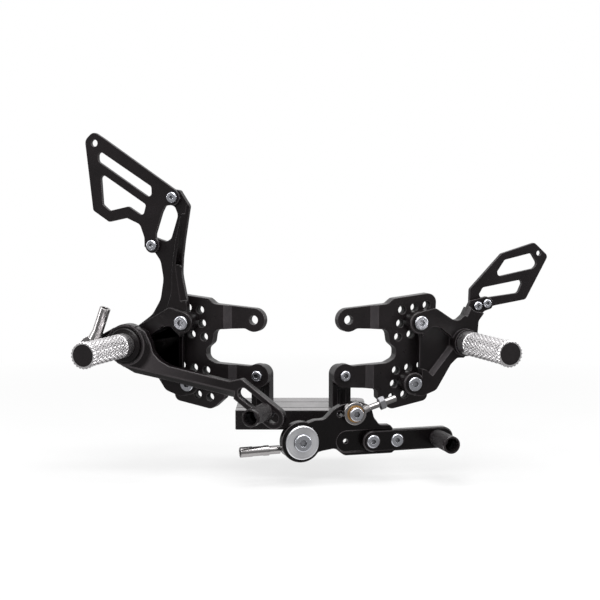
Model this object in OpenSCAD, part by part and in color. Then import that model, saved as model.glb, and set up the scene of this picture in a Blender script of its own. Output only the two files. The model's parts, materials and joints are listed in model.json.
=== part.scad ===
// Adjustable rear set footrests for a sports motorcycle: a brake side and a gearchange side on a cross block.
// Millimetres. X to the right, Y away from the viewer, Z up. Origin: under the front part of the cross block.
// Each side is drawn flat in its own plate frame: x outwards, y up, z along the outward normal.

/* [Layout] */
// angle that each side's plates are splayed by
splay = 20; // [0:1:35]
// distance between the two lower mounting eyes
eye_span = 77.5; // [60:0.5:120]
// height of the lower eyes above the cross block's underside
eye_height = 48; // [40:1:80]
// height of the upper eye above the lower one
eye_rise = 50.6; // [45:0.2:70]
// sideways offset of the upper eye from the lower one
eye_shift = 3.7; // [0:0.1:10]
// outer radius of the mounting eyes
eye_r = 10.8; // [9:0.1:14]

/* [Adapter plates] */
// adapter plate thickness
plate_t = 10; // [6:0.5:14]
// spacing of the position holes
hole_pitch = 12.5; // [11:0.1:14]
// slope of the hole rows
hole_tilt = 8.6; // [0:0.1:12]
// radius of the threaded position holes
hole_r = 3.7; // [3:0.1:4.5]
// radius of the upper eye's frame bolt hole
frame_hole_r = 4.1; // [3:0.1:5]
// depth that the eye arms are stepped back by
arm_step = 2.6; // [1:0.1:4]

/* [Hangers] */
// hanger plate thickness
hanger_t = 10; // [8:0.5:14]
// length of the spacers behind each hanger
spacer_h = 8; // [4:0.5:14]
// outer radius of the spacers
spacer_r = 9.5; // [7:0.1:11]
// radius of the bosses under the hanger bolts
boss_r = 10.2; // [9:0.1:12]
// thickness of the web between the legs
web_t = 4; // [3:0.5:7]
// thickness of the tall arm on the brake side
arm_t = 5.5; // [4:0.5:7]
// height of the rib on the tall arm
rib_h = 2; // [1:0.2:3]
// hanger bolt head radius
bolt_head_r = 6.5; // [5:0.1:7]
// hanger bolt head height
bolt_head_h = 2.8; // [2:0.1:4]

/* [Heel guards] */
// heel guard plate thickness
guard_t = 3.5; // [2:0.1:5]
// head radius of the brake side guard screws
guard_head_l = 4.9; // [3.5:0.1:5.5]
// head radius of the gear side guard screws
guard_head_r = 4.1; // [3:0.1:4.5]

/* [Pegs] */
// knurled body radius
peg_r = 11; // [9:0.1:14]
// end lip radius
lip_r = 12; // [10:0.1:15]
// length of the gear side peg
peg_len_r = 79; // [60:1:110]
// radius of the boss behind the gear side peg
peg_boss_r = 12.3; // [12:0.1:15]
// height of that boss above the hanger
peg_boss_h = 6; // [1:0.5:12]
// length of the brake side peg
peg_len_l = 74; // [60:1:110]
// end cap radius
cap_r = 9.6; // [7:0.1:10]
// radius of the flange washer behind the brake side peg
flange_r = 15.5; // [13:0.1:17]

/* [Brake pedal] */
// pedal arm thickness
pedal_t = 8; // [6:0.5:10]
// pedal hub radius
hub_r = 19; // [15:0.5:21]
// half width of the toe slot
slot_r = 4.8; // [4.4:0.1:6]
// toe peg radius, both sides
toe_r = 7.8; // [6:0.1:9]
// toe peg length, both sides
toe_len = 34; // [25:1:50]
// brake rod eye radius
rod_eye_r = 11.5; // [9.2:0.1:12]
// length of the brake rod's shank from its eye
rod_len = 40; // [35:1:80]
// brake rod shank radius
rod_r = 5; // [4.4:0.1:7]

/* [Cross block and posts] */
// cross block width
block_w = 118.8; // [100:1:160]
// cross block depth
block_d = 68; // [50:1:90]
// cross block height
block_h = 17.6; // [12:0.5:24]
// post width
post_w = 18; // [14:0.5:24]
// post thickness
post_t = 10; // [8:0.5:16]

/* [Gear lever] */
// angle that the gear lever is turned by
lever_yaw = 16; // [0:1:25]
// height of the lever pivot, below the block's underside
pivot_drop = 4.8; // [0:0.2:12]
// distance of the lever plane in front of the block
lever_gap = 28; // [24:0.5:45]
// lever thickness
lever_t = 8; // [6:0.5:10]
// radius of the pivot disc
disc_r = 18.2; // [16:0.1:22]
// radius of the turned washer
washer_r = 15; // [12:0.1:17]
// half width of the sliding extension
ext_r = 9.4; // [8:0.1:10]
// extension thickness
ext_t = 8; // [6:0.5:10]
// length of the extension between its round ends
ext_len = 67; // [50:1:90]
// male rod end eye radius
end_r = 10.2; // [8.8:0.1:12]
// length of the male rod end's stud from its eye
stud_len = 40; // [34:1:60]
// length of the tie rod from its eye
tie_len = 43; // [30:1:80]
// tie rod radius
tie_r = 4.6; // [3.8:0.1:6]

/* [Hidden] */
$fn = 48;

// fits and gaps
fit = 0.03;      // radial clearance of a screw or pin in its hole
run = 0.05;      // radial clearance of a turning fit
gap = 0.3;       // clearance between pieces that move past each other
ball_fit = 0.08; // radial clearance of a ball in its seat

// thread radii that the screws and their holes share; a nut meets the rod end's stud at the pitch radius
m8 = hole_r - fit;
m8_r = 3.97;
m6 = 2.97;
m6_pitch = 2.68;
m5 = 2.47;

// levels along a side's outward normal
w_back = -plate_t / 2;
w_front = plate_t / 2;
w_step = w_front - arm_step;
w_hb = w_front + spacer_h;
w_hf = w_hb + hanger_t;
w_head = w_hf + bolt_head_h;
w_arm = w_hb + arm_t;
w_pb = w_head + 0.6;
w_pf = w_pb + pedal_t;
w_hub0 = w_hf + gap;
w_hub1 = w_pf + gap;
w_sleeve = w_hub1 + gap;
flange_t = 2.6;
w_peg = w_sleeve + flange_t;
w_peg_r = w_hf + peg_boss_h;

// places in a side's plate frame
tilt_x = hole_pitch * cos(hole_tilt);
tilt_y = hole_pitch * sin(hole_tilt);
field_a = [53.4, 45.9];
field_b = [49.5, 2.9];
function spot(o, i, j) = [o[0] + i * tilt_x + j * tilt_y, o[1] + i * tilt_y + j * tilt_x];
bolt_a = spot(field_a, 1, 0);
bolt_b = spot(field_b, 1, -1);
eye_a = [eye_shift, eye_rise];
eye_b = [0, 0];
peg_right = [109.8, 28.4];
peg_left = [116.5, 27];
guard_l1 = [74.2, 160.9];
guard_l2 = [94.9, 117.5];
guard_r1 = [124.3, 61.2];
guard_r2 = [133.7, 63.2];
toe_dir = 35.5;
slot_end = [-27.5, -31.5];
slot_len = 35;
toe_l = slot_end + 9.5 * [cos(toe_dir), sin(toe_dir)];
rod_pin = [146.8, 23.4];
rod_lean = 20.5;
brake_rod_w = w_pf + 7.1;

// levels and places in the gear lever's frame
l_back = -lever_t / 2;
l_front = lever_t / 2;
l_floor = l_front - 2.3;
ext_back = l_floor;
ext_front = ext_back + ext_t;
ext_y = -1.9;
ext_x = 64.5;
screw_x1 = 64.5;
screw_x2 = 87;
toe_x = 125.5;
block_y0 = -10;
bracket_x = 31.5;
bracket_z = [4.4, 13];
lever_y = block_y0 - lever_gap;
ball_at = [46.8, 24.4];
ball_half = 4.2;
end_w = l_front + 1.6 + ball_half;
stud_up = 17.2;
crank_at = [-9.6, -7.9];
collar_t = 1.5;
nut_end = 29.2;
tie_w = l_back - gap - collar_t - gap - 2.6;
boss_w = tie_w - 5.3;

function unit(v) = v / norm(v);
function xy(p) = [p[0], p[1]];
// one rounded corner: the arc that touches both sides of the corner at p
function corner(a, p, b, r) = r <= 0 ? [p] :
    let (u = unit(a - p), v = unit(b - p))
    let (h = acos(max(-1, min(1, u * v))) / 2)
    let (c = p + unit(u + v) * (r / sin(h)))
    let (s = p + u * (r / tan(h)) - c, e = p + v * (r / tan(h)) - c)
    let (a0 = atan2(s[1], s[0]), d = atan2(e[1], e[0]) - a0)
    let (da = d > 180 ? d - 360 : d < -180 ? d + 360 : d)
    let (n = max(1, ceil(abs(da) / 12)))
    [for (i = [0:n]) c + r * [cos(a0 + da * i / n), sin(a0 + da * i / n)]];
// outline from corner points [x, y, radius]
function outline(p) = let (n = len(p)) [for (i = [0:n - 1])
    each corner(xy(p[(i + n - 1) % n]), xy(p[i]), xy(p[(i + 1) % n]), len(p[i]) > 2 ? p[i][2] : 0)];

module at(p) {
    translate([p[0], p[1], 0]) children();
}

module rod(r, a, b) {
    translate([0, 0, a]) cylinder(r = r, h = b - a);
}

module tube(ro, ri, a, b) {
    difference() {
        rod(ro, a, b);
        rod(ri, a - 1, b + 1);
    }
}

module slab(pts, a, b) {
    translate([0, 0, a]) linear_extrude(b - a) polygon(outline(pts));
}

// a disc whose outer rim is chamfered on top
module puck(r, a, b, c) {
    rod(r, a, b - c);
    translate([0, 0, b - c]) cylinder(r1 = r, r2 = r - c, h = c);
}

// socket head screw: head from 0 up to hh, shank down to -len
module screw(r, len, hr, hh, af) {
    difference() {
        union() {
            puck(hr, 0, hh, min(0.8, hh / 3));
            rod(r, -len, 0.5);
        }
        translate([0, 0, hh * 0.35]) cylinder(r = af / sqrt(3), h = hh, $fn = 6);
    }
}

module nut(af, r, a, b) {
    difference() {
        translate([0, 0, a]) cylinder(r = af / sqrt(3), h = b - a, $fn = 6);
        rod(r, a - 1, b + 1);
    }
}

module right_side() {
    translate([eye_span / 2, 0, eye_height]) rotate([90, 0, splay]) children();
}

module left_side() {
    mirror([1, 0, 0]) right_side() children();
}

module lever_frame() {
    translate([-0.6, lever_y, -pivot_drop]) rotate([90, 0, lever_yaw]) children();
}

// prism along the edge from p to q: its outline is [place left of the edge, level]
module slope(p, q, pts) {
    d = q - p;
    at(p) rotate([0, 0, atan2(d[1], d[0])]) rotate([90, 0, 90]) linear_extrude(norm(d)) polygon(pts);
}

// prism whose outline lies in the x, z plane, from y0 up to y1
module side_prism(pts, y0, y1) {
    translate([0, y1, 0]) rotate([90, 0, 0]) linear_extrude(y1 - y0) polygon(pts);
}

module adapter() {
    difference() {
        union() {
            slab([[eye_a[0], eye_a[1] + eye_r], [41, 64.3, 5], [47, 69, 5], [82, 72.8, 6], [90, 70.5, 8],
                [89, 50, 12], [80.5, 28, 20], [79.5, -2, 10], [82, -26, 6], [44, -33, 8],
                [31.5, -22, 3], [31.5, -13.6, 4], [18, -12.2], [0, -eye_r], [0, eye_r],
                [8, 8.6, 8], [40, 10, 8], [49, 14.5, 6], [49, 23.5, 5], [43, 28.5, 5],
                [41, 40.9, 6], [12, 42.6, 6], [8, 40.6], [eye_a[0], eye_a[1] - eye_r]], w_back, w_front);
            at(eye_a) rod(eye_r, w_back, w_front);
            at(eye_b) rod(eye_r, w_back, w_front);
        }
        side_prism([[-30, w_step], [25.3, w_step], [32.1, w_front + 0.15],
            [32.1, 20], [-30, 20]], 30, 90);
        side_prism([[-30, w_step], [20.7, w_step], [27.5, w_front + 0.15],
            [27.5, 20], [-30, 20]], -28, 12.9);
        at(eye_a) rod(frame_hole_r, w_back - 1, w_front + 1);
        at(eye_b) rod(m6 + fit, w_back - 1, w_front + 1);
        for (i = [0:2], j = [-1:1]) {
            at(spot(field_a, i, j)) rod(hole_r, w_back - 1, w_front + 1);
            at(spot(field_b, i, j - 1)) rod(hole_r, w_back - 1, w_front + 1);
        }
    }
}

module spacers() {
    at(bolt_a) tube(spacer_r, m8 + 0.25, w_front, w_hb);
    at(bolt_b) tube(spacer_r, m8 + 0.25, w_front, w_hb);
}

module hanger_bolts() {
    reach = hanger_t + spacer_h + plate_t - 1;
    at(bolt_a) translate([0, 0, w_hf]) screw(m8, reach, bolt_head_r, bolt_head_h, 5);
    at(bolt_b) translate([0, 0, w_hf]) screw(m8, reach, bolt_head_r, bolt_head_h, 5);
}

// the recess between the two legs, down to the web, with a sloping wall on its lower side
module leg_pocket() {
    web = w_hb + web_t;
    slab([[50, 35], [68, 35, 2], [77, 44, 3], [85.6, 43, 4], [97.8, 33.6, 3], [99.5, 29, 2], [98.9, 25.4],
        [93, 24], [76.4, 3.1], [68, 5.6, 2], [50, 5.6]], web, w_hf + 9);
    slope([78.2, -1], [100.07, 24.74], [[2.4, web], [-0.4, w_hf + 1], [8, w_hf + 1], [8, web]]);
}

module boss_pair() {
    at(bolt_a) puck(boss_r, w_hb, w_hf, 0.8);
    at(bolt_b) puck(boss_r, w_hb, w_hf, 0.8);
}

module hanger_holes(peg) {
    at(bolt_a) rod(m8 + 0.25, w_hb - 1, w_hf + 1);
    at(bolt_b) rod(m8 + 0.25, w_hb - 1, w_hf + 1);
    at(peg) rod(m8_r + fit, w_hb - 1, w_peg_r + 1);
}

module right_hanger() {
    color("#232324") right_side() difference() {
        union() {
            difference() {
                slab([[65.8, 57.8], [81, 60.8, 6], [97.5, 50, 5], [104, 48.2, 5], [110, 53, 5], [117, 66.3, 3],
                    [124.3, 67.6], [133.7, 69.6], [141, 66, 5], [139.5, 58.4, 3], [131.5, 56, 4], [124.5, 47.5, 6],
                    [123.6, 36, 6], [124.3, 28.4], [109.8, 13.9], [103, 14.2, 4], [96.5, 8.5, 6],
                    [82, -14.5, 8], [68, -19.4, 4], [60, -17.8], [67.5, -7.6], [67.5, 47.8]], w_hb, w_hf);
                leg_pocket();
            }
            at(peg_right) rod(peg_boss_r, w_hb, w_peg_r);
            boss_pair();
        }
        hanger_holes(peg_right);
        slope([117, 66.3], [110.2, 53.2],
            [[-2, w_hf - 5], [3.5, w_hf + 0.5], [3.5, w_hf + 2], [-2, w_hf + 2]]);
        slab([[110, 95], [110, 64], [124, 50.6], [155, 50.6], [155, 95]], w_hb - 1, w_hb + guard_t + 0.01);
        at(guard_r1) rod(m5 + fit, w_hb - 1, w_hf + 1);
        at(guard_r2) rod(m5 + fit, w_hb - 1, w_hf + 1);
        slab([[112, 95], [112, 64.5], [120, 56.5, 3], [155, 49], [155, 95]], w_hf - 2.5, w_hf + 1);
    }
}

module left_hanger() {
    color("#232324") left_side() difference() {
        union() {
            difference() {
                slab([[65.8, 57.8], [78, 61.3, 5], [108, 44.5, 8], [116.5, 41.5], [131, 27], [116.5, 12.5],
                    [105, 12.5, 5], [96.5, 6.5, 6], [82, -14.5, 8], [68, -19.4, 4], [60, -17.8],
                    [67.5, -7.6], [67.5, 47.8]], w_hb, w_hf);
                leg_pocket();
            }
            at(peg_left) rod(14.5, w_hb, w_hf);
            boss_pair();
            slab([[61.5, 52], [61.5, 64, 8], [63.8, 73, 20], [67.6, 92, 30], [66.7, 106.4, 20], [64.7, 121.7, 30],
                [59.3, 153.5, 4], [68.6, 167.3, 2], [75, 168.2], [81.5, 161], [78.5, 154.2, 3], [73.5, 152.8, 5],
                [70.2, 145, 8], [77.2, 123.8, 5], [82, 120.9, 3], [90.5, 123.4], [101.9, 117.5], [93.5, 110.4],
                [88.2, 103.2, 12], [85.4, 87, 20], [88.6, 68, 16], [97, 54, 16], [113, 42.4],
                [104, 38]], w_hb, w_arm);
            at(guard_l1) rod(7.2, w_hb, w_arm);
            at(guard_l2) rod(7.1, w_hb, w_arm);
            slab([[61.5, 57], [61.5, 64, 8], [63.8, 73, 20], [67.6, 92, 30], [66.7, 106.4, 20], [64.7, 121.7, 30],
                [60.6, 146.3], [66.5, 146.3, 2], [72.5, 121, 12], [76, 98, 20], [76.5, 76, 20],
                [83, 57]], w_hb, w_arm + rib_h);
        }
        hanger_holes(peg_left);
        for (e = [[[59.3, 153.5], [67.2, 100]], [[67.2, 100], [62.4, 68]]])
            slope(e[0], e[1], [[-2, w_arm - 3.2], [6.2, w_arm + rib_h + 0.5],
                [6.2, w_arm + 9], [-2, w_arm + 9]]);
        at(guard_l1) rod(m5 + fit, w_hb - 1, w_hf + 1);
        at(guard_l2) rod(m5 + fit, w_hb - 1, w_hf + 1);
    }
}

module left_heel_guard() {
    color("#29292a") left_side() difference() {
        union() {
            slab([[162.4, 213, 7], [153.6, 221, 6], [143, 214.6, 8], [70.4, 167.2, 4], [66.9, 160], [72, 154],
                [81, 153.6, 3], [84.4, 147.2], [90.9, 128.1], [91, 124, 2], [88.5, 121], [92, 111],
                [102.6, 116], [102.6, 124.5, 8], [107, 136.3, 6], [120.3, 142, 4], [138.5, 138.2, 3],
                [154.8, 148.6, 3]], w_arm, w_arm + guard_t);
            at(guard_l1) rod(7, w_arm, w_arm + guard_t);
            at(guard_l2) rod(7, w_arm, w_arm + guard_t);
        }
        slab([[148.8, 204, 3], [95, 170.6, 3.4], [94.8, 159.3, 3], [148.8, 193.6, 4]], w_arm - 1, w_arm + 9);
        slab([[146.6, 183.2, 3], [100.6, 154.3, 2.6], [103.6, 143.6, 3], [118.3, 152.6, 3], [137.6, 148.4, 3],
            [144.7, 154.2, 3]], w_arm - 1, w_arm + 9);
        at([152.6, 210.2]) rod(3.2, w_arm - 1, w_arm + 9);
        at(guard_l1) rod(m5 + fit, w_arm - 1, w_arm + 9);
        at(guard_l2) rod(m5 + fit, w_arm - 1, w_arm + 9);
    }
}

module right_heel_guard() {
    color("#29292a") right_side() difference() {
        slab([[118.4, 76.6, 3], [150.8, 108.7, 4], [185.6, 118.4, 4], [200.3, 105.6, 4], [177, 65.2, 4],
            [143.6, 60.4, 6], [136, 57.8, 4], [124, 55.9, 5], [118, 61.5, 5]], w_hb, w_hb + guard_t);
        slab([[154.3, 102.7, 3], [182.2, 108.6, 3], [188.9, 98.4, 4], [184.6, 94, 4], [147.6, 87.4, 3],
            [146.6, 92, 2]], w_hb - 1, w_hb + 9);
        slab([[131.8, 77.6, 3], [174.6, 84.3, 3], [168.6, 71.5, 4], [130.6, 67.6, 2.5], [127.7, 71, 2]],
            w_hb - 1, w_hb + 9);
        at([190.3, 108.3]) rod(2.4, w_hb - 1, w_hb + 9);
        at(guard_r1) rod(m5 + fit, w_hb - 1, w_hb + 9);
        at(guard_r2) rod(m5 + fit, w_hb - 1, w_hb + 9);
    }
}

module left_guard_screws() {
    color("#c8cacd") left_side() {
        reach = guard_t + arm_t - 0.5;
        at(guard_l1) translate([0, 0, w_arm + guard_t]) screw(m5, reach, guard_head_l, 2.6, 3);
        at(guard_l2) translate([0, 0, w_arm + guard_t]) screw(m5, reach, guard_head_l, 2.6, 3);
    }
}

module right_guard_screws() {
    color("#c8cacd") right_side() {
        at(guard_r1) translate([0, 0, w_hf - 2.5]) screw(m5, hanger_t - 3, guard_head_r, 2.6, 3);
        at(guard_r2) translate([0, 0, w_hf - 2.5]) screw(m5, hanger_t - 3, guard_head_r, 2.6, 3);
    }
}

// turned peg: plain collar, grooved grip, flared lip, bored out from the tip
module peg(len) {
    rings = floor((len - 14) / 5);
    difference() {
        union() {
            rod(peg_r - 0.9, 0, len - 2);
            rod(peg_r, 0, 6);
            for (i = [0:rings - 1]) rod(peg_r, 7 + i * 5, 11 + i * 5);
            translate([0, 0, len - 7]) cylinder(r1 = peg_r - 0.9, r2 = lip_r, h = 3);
            rod(lip_r, len - 4, len - 1);
            translate([0, 0, len - 1]) cylinder(r1 = lip_r, r2 = lip_r - 0.8, h = 1);
        }
        rod(m8_r + fit, -1, 30);
        rod(7, 36, len + 1);
        rod(cap_r, len - 3, len + 1);
    }
}

module peg_cap(len) {
    difference() {
        union() {
            rod(cap_r - fit, len - 3, len - 0.5);
            translate([0, 0, len - 0.5]) cylinder(r1 = cap_r - fit, r2 = cap_r - 0.4, h = 0.5);
            rod(7 - fit, len - 9, len - 3);
        }
        rod(5, len - 10, len - 3);
    }
}

module left_peg() {
    color("#bcbcb8") left_side() at(peg_left) translate([0, 0, w_peg]) peg(peg_len_l);
}

module right_peg() {
    color("#bcbcb8") right_side() at(peg_right) translate([0, 0, w_peg_r]) peg(peg_len_r);
}

module left_peg_cap() {
    color("#3a3a3a") left_side() at(peg_left) translate([0, 0, w_peg]) peg_cap(peg_len_l);
}

module right_peg_cap() {
    color("#3a3a3a") right_side() at(peg_right) translate([0, 0, w_peg_r]) peg_cap(peg_len_r);
}

// peg bolt, put in from behind the hanger
module left_peg_bolt() {
    color("#b8babd") left_side() at(peg_left) translate([0, 0, w_hb]) mirror([0, 0, 1])
        screw(m8_r, w_peg - w_hb + 24, 6.5, 5, 6);
}

module right_peg_bolt() {
    color("#b8babd") right_side() at(peg_right) translate([0, 0, w_hb]) mirror([0, 0, 1])
        screw(m8_r, w_peg_r - w_hb + 24, 6.5, 5, 6);
}

module peg_flange() {
    color("#1e1e1f") left_side() at(peg_left) difference() {
        puck(flange_r, w_sleeve, w_peg, 0.8);
        rod(m8_r + fit, w_sleeve - 1, w_peg + 1);
    }
}

module pedal_sleeve() {
    color("#a9abad") left_side() at(peg_left) tube(8, m8_r + fit, w_hf, w_sleeve);
}

module pedal_bush() {
    color("#b08d4a") left_side() at(peg_left) tube(10, 8 + run, w_hub0, w_hub1);
}

module brake_pedal() {
    edge_a = atan2(16.5, 100.6);
    color("#232324") left_side() difference() {
        union() {
            slab([[108, 44], [97, 40.5, 6], [91.6, 29.5, 5], [89.2, 20.8, 6], [82.5, 14, 8], [73, 9.4, 8],
                [14, -1, 6], [2.6, 2, 4], slot_end + 9.9 * [-sin(toe_dir), cos(toe_dir)],
                slot_end + 9.9 * [sin(toe_dir), -cos(toe_dir)], [10.4, -16.6, 5], [81.9, -4, 0], [111, 0.5, 6],
                [129, 13, 4], [133, 16.6, 2], [145.3, 15], [148.3, 31.8], [129, 42]], w_pb, w_pf);
            at(slot_end) rod(10, w_pb, w_pf);
            at(rod_pin) rod(8.6, w_pb, w_pf);
            at(peg_left) puck(hub_r, w_hub0, w_hub1, 1);
        }
        at(peg_left) rod(10 + fit, w_hub0 - 1, w_hub1 + 1);
        at(rod_pin) rod(m6 + fit, w_pb - 1, w_pf + 1);
        at(slot_end) rotate([0, 0, toe_dir]) {
            rod(slot_r, w_pb - 1, w_pf + 1);
            translate([slot_len, 0, 0]) rod(slot_r, w_pb - 1, w_pf + 1);
            translate([0, -slot_r, w_pb - 1]) cube([slot_len, 2 * slot_r, pedal_t + 2]);
        }
        at([10.4, -16.6]) rotate([0, 0, edge_a]) rotate([90, 0, 90]) linear_extrude(124)
            polygon([[-3, w_pb - 1.5], [7, w_pf + 0.4], [7, w_pf + 9], [-3, w_pf + 9]]);
    }
}

// knurled toe peg with a plain bore and a deep counterbore for its bolt
module toe_peg(h) {
    difference() {
        union() {
            rod(toe_r - 0.7, 0, h);
            rod(toe_r, 0, 3);
            for (i = [0:floor((h - 8) / 4) - 1]) rod(toe_r, 4 + i * 4, 7 + i * 4);
            puck(toe_r, h - 3, h, 0.5);
        }
        rod(m6 + fit, -1, h + 1);
        rod(6.1, 9, h + 1);
    }
}

module brake_toe_peg() {
    color("#1e1e1f") left_side() at(toe_l) translate([0, 0, w_pf]) toe_peg(toe_len);
}

module brake_toe_bolt() {
    color("#8d8f92") left_side() at(toe_l) translate([0, 0, w_pf + 9]) screw(m6, 9 + pedal_t + 5, 5, 6, 5);
}

module brake_toe_nut() {
    color("#8d8f92") left_side() at(toe_l) nut(12.5, m6 + fit, w_pb - 5, w_pb);
}

// a ball with flat ends, bored for its bolt
module ball(r, half, bore) {
    difference() {
        intersection() {
            sphere(r = r, $fn = 36);
            translate([0, 0, -half]) cylinder(r = r + 1, h = 2 * half);
        }
        rod(bore, -r - 1, r + 1);
    }
}

module brake_rod_frame() {
    left_side() at(rod_pin) translate([0, 0, brake_rod_w]) rotate([0, 0, rod_lean]) children();
}

module brake_rod() {
    color("#c4c4c2") brake_rod_frame() difference() {
        union() {
            rod(rod_eye_r, -4, 4);
            rotate([-90, 0, 0]) rod(rod_r, 6, rod_len);
            rotate([-90, 0, 0]) translate([0, 0, 9]) cylinder(r1 = 6.8, r2 = rod_r, h = 8);
        }
        sphere(r = 7.3 + ball_fit, $fn = 36);
        rotate([-90, 0, 0]) rod(3, rod_len - 20, rod_len + 1);
        for (s = [-1, 1]) translate([s * (rod_r + 3.4), rod_len - 8, 0]) cube([8, 9, 20], center = true);
    }
}

module brake_rod_ball() {
    color("#a9abad") brake_rod_frame() ball(7.3, 5.4, m6 + fit);
}

module brake_rod_bolt() {
    color("#b8babd") left_side() at(rod_pin) translate([0, 0, brake_rod_w + 5.4])
        screw(m6, brake_rod_w + 5.4 - w_pb + 5, 5, 5, 5);
}

module brake_rod_nut() {
    color("#b8babd") left_side() at(rod_pin) {
        nut(10, m6 + fit, w_pb - 5, w_pb);
        tube(5.2, m6 + fit, w_pf, brake_rod_w - 5.4);
    }
}

module cross_block() {
    x = block_w / 2;
    y1 = block_y0 + block_d;
    color("#262627") difference() {
        linear_extrude(block_h)
            polygon(outline([[-x, block_y0, 1.5], [x, block_y0, 1.5], [x, y1, 7], [-x, y1, 7]]));
        for (s = [-1, 1], u = [-1, 1]) post_hole_at(s, u) {
            rod(m5 + 0.3, -1, block_h + 1);
            rod(4.6, -1, 5.5);
        }
        for (z = bracket_z) translate([bracket_x, block_y0 - 1, z]) rotate([-90, 0, 0])
            cylinder(r = m5 + fit, h = 14);
        for (y = [14, 44]) translate([-x - 1, block_y0 + y, block_h - 0.8]) cube([block_w + 2, 1.6, 2]);
    }
}

// the two foot screws of a post, s is the side and u the place across the post
module post_hole_at(s, u) {
    a = splay;
    d = -w_back + post_t / 2;
    x = eye_span / 2 - d * sin(a) + u * 4.6 * cos(a);
    translate([s * x, d * cos(a) + u * 4.6 * sin(a), 0]) children();
}

module post_screws() {
    color("#8d8f92") for (s = [-1, 1], u = [-1, 1]) post_hole_at(s, u)
        translate([0, 0, 5.5]) mirror([0, 0, 1]) screw(m5, block_h - 5.5 + 12, 4.25, 4.5, 4);
}

module post() {
    foot = block_h - eye_height;
    difference() {
        union() {
            rod(post_w / 2, w_back - post_t, w_back);
            translate([-post_w / 2, foot, w_back - post_t]) cube([post_w, -foot, post_t]);
        }
        rod(m6 + fit, w_back - post_t + 1.5, w_back + 1);
        translate([0, foot - 1, w_back + 2]) rotate([-90, 0, 0]) cylinder(r = 4.4, h = 18);
        for (u = [-1, 1]) translate([u * 4.6, foot - 1, w_back - post_t / 2]) rotate([-90, 0, 0])
            cylinder(r = m5 + fit, h = 14);
    }
}

module eye_screw() {
    translate([0, 0, w_step]) screw(m6, w_step - w_back + post_t - 2, 4.8, 3.4, 4);
}

module pivot_bracket() {
    color("#232324") difference() {
        union() {
            side_prism(outline([[-8, -13, 5], [8, -13, 8], [30, -1], [37, -1, 3], [37, 17.2, 2], [27, 17.2, 2],
                [22, 6, 4], [-8, 3, 5]]), block_y0 - 6, block_y0);
            lever_frame() rod(9, -(lever_gap - 4) / cos(lever_yaw), boss_w);
        }
        lever_frame() rod(m8_r + fit, boss_w - 12, boss_w + 1);
        for (z = bracket_z) translate([bracket_x, block_y0 - 7, z]) rotate([-90, 0, 0]) {
            cylinder(r = m5 + fit, h = 9);
            cylinder(r = 4.2, h = 4);
        }
    }
}

module bracket_screws() {
    color("#8d8f92") for (z = bracket_z) translate([bracket_x, block_y0 - 3, z]) rotate([90, 0, 0])
        screw(m5, 14, 3.9, 2.8, 3);
}

module pivot_sleeve() {
    color("#a9abad") lever_frame() {
        tube(6, m8_r + fit, boss_w, l_front + gap);
        tube(7.3, 5.9, l_back - gap - collar_t, l_back - gap);
    }
}

module pivot_washer() {
    color("#d5d6d8") lever_frame() difference() {
        puck(washer_r, l_front + gap, l_front + gap + 3.2, 0.7);
        rod(m8_r + fit, 0, 20);
        rod(8.2, l_front + gap + 2.2, 20);
    }
}

module pivot_bolt() {
    color("#c8cacd") lever_frame() translate([0, 0, l_front + gap + 2.2])
        screw(m8_r, l_front + gap + 2.2 - boss_w + 10, 7.8, 3.4, 6);
}

module gear_lever() {
    color("#232324") lever_frame() difference() {
        union() {
            rod(disc_r, l_back, l_front);
            slab([[0, 15], [12, 19, 6], [21, 19.2, 6], [29.4, 27.6, 5], [37, 31.6, 8], [53, 33.6, 6], [64.4, 29, 5],
                [67.2, 18.6, 5], [72.6, 11.6, 5], [82.5, 11.2, 3], [87.5, 5, 3], [87.5, -12, 3], [84, -14.6, 2],
                [39.5, -14.4, 6], [31, -7.4, 6], [19, -9, 4], [0, -14]], l_back, l_front);
        }
        at([41.8, ext_y]) rod(ext_r + 0.15, l_floor, l_front + 1);
        translate([41.8, ext_y - ext_r - 0.15, l_floor]) cube([60, 2 * ext_r + 0.3, 9]);
        rod(8 + fit, l_back - 1, l_front + 1);
        at(ball_at) rod(m6 + fit, l_back - 1, l_front + 1);
        at([35.4, 23.4]) rod(2.7, l_back - 1, l_front + 1);
        at([41.2, ext_y]) rod(2, l_back - 1, l_front + 1);
        at([screw_x1, ext_y]) rod(m6 + fit, l_back - 1, l_front + 1);
        at([82, ext_y]) rod(2, l_back - 1, l_front + 1);
        at(crank_at) rod(m5 + fit, l_back - 1, l_front + 1);
    }
}

module lever_bush() {
    color("#b08d4a") lever_frame() tube(8, 6 + run, l_back, l_front);
}

module lever_extension() {
    color("#1f1f20") lever_frame() difference() {
        union() {
            at([ext_x, ext_y]) puck(ext_r, ext_back, ext_front, 0.8);
            at([ext_x + ext_len, ext_y]) puck(ext_r, ext_back, ext_front, 0.8);
            translate([ext_x, ext_y - ext_r, ext_back]) cube([ext_len, 2 * ext_r, ext_t - 0.8]);
            translate([ext_x, ext_y - ext_r + 0.8, ext_back + 1]) cube([ext_len, 2 * ext_r - 1.6, ext_t - 1]);
        }
        for (x = [screw_x1, screw_x2, toe_x]) at([x, ext_y]) rod(m6 + fit, ext_back - 1, ext_front + 1);
        for (x = [screw_x1, screw_x2]) at([x, ext_y]) rod(6.2, ext_front - 1.4, ext_front + 1);
    }
}

module extension_screws() {
    color("#c8cacd") lever_frame() {
        at([screw_x1, ext_y]) translate([0, 0, ext_front - 1.4]) screw(m6, ext_t - 1.4 + 5, 5.9, 3, 4);
        at([screw_x2, ext_y]) translate([0, 0, ext_front - 1.4]) screw(m6, ext_t - 1.9, 5.9, 3, 4);
    }
}

module shift_toe_peg() {
    color("#1e1e1f") lever_frame() at([toe_x, ext_y]) translate([0, 0, ext_front]) toe_peg(toe_len);
}

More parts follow.
